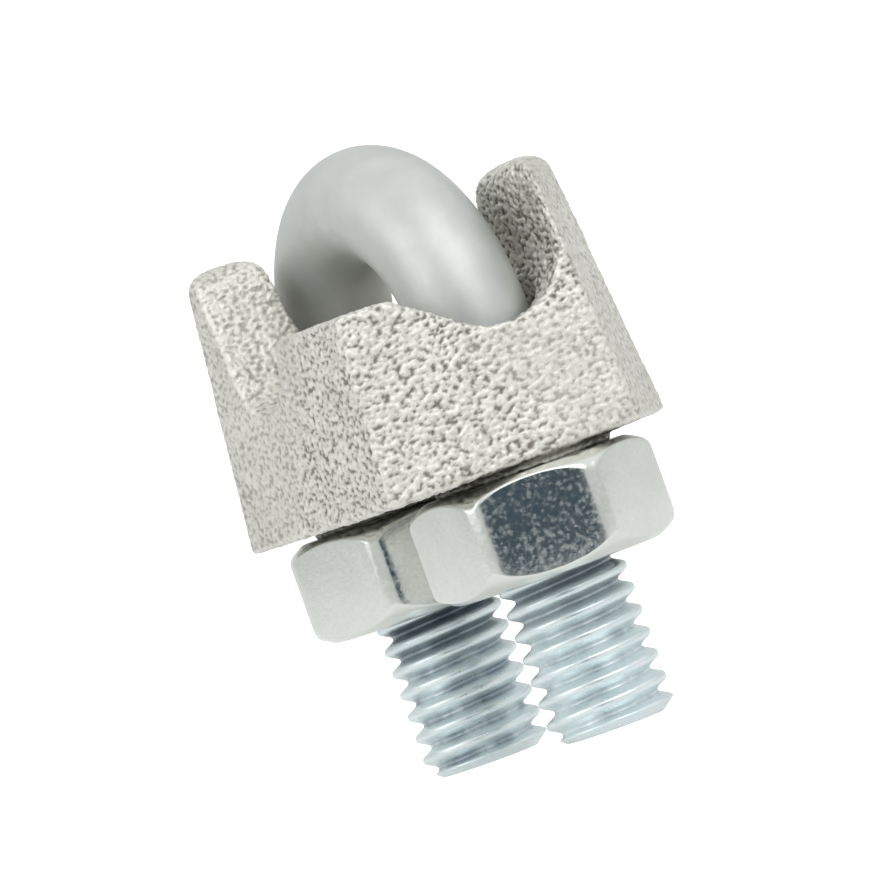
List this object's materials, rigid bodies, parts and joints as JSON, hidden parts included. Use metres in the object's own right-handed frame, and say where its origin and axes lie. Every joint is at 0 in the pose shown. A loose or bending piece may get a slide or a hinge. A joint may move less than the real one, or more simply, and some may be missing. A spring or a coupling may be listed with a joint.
{
  "type": "wire rope clip",
  "caption": "Saddle clip for wire rope: a threaded U-bolt draws the rope into the groove of a cast saddle when the hexagon nuts on its legs are turned.",
  "frame": {"origin": "on the axis of the rope seat, halfway along the saddle and midway between the legs of the U-bolt", "axes": "+X along the rope, +Y from the front leg to the rear leg, +Z along the legs from the nuts to the bow; +X and -Y meet at one of the tall horns"},
  "size_m": [0.0112, 0.0165, 0.019],
  "materials": {
    "cast_zinc": "zinc-coated rough casting",
    "rod_zinc": "satin zinc plating",
    "nut_zinc": "smooth zinc plating"
  },
  "bodies": {
    "saddle": {"saddle": "cast_zinc"},
    "u_bolt": {"u_bolt": "rod_zinc"},
    "front_nut": {"nut_front": "nut_zinc"},
    "rear_nut": {"nut_rear": "nut_zinc"}
  },
  "joints": [
    {"name": "u_bolt_travel", "type": "slide", "parent": "saddle", "child": "u_bolt", "axis": [0, 0, 1], "range_m": [-0.00105, 0.0049]},
    {"name": "front_nut_turn", "type": "hinge", "parent": "saddle", "child": "front_nut", "pos_m": [0, -0.0045, -0.0073], "axis": [0, 0, 1], "range_deg": [-2521, 541]},
    {"name": "rear_nut_turn", "type": "hinge", "parent": "saddle", "child": "rear_nut", "pos_m": [0, 0.0045, -0.0073], "axis": [0, 0, 1], "range_deg": [-2521, 541]}
  ],
  "couplings": [
    {"joint": "front_nut_turn", "follows": "u_bolt_travel", "rad_per_m": -8976},
    {"joint": "rear_nut_turn", "follows": "u_bolt_travel", "rad_per_m": -8976}
  ]
}
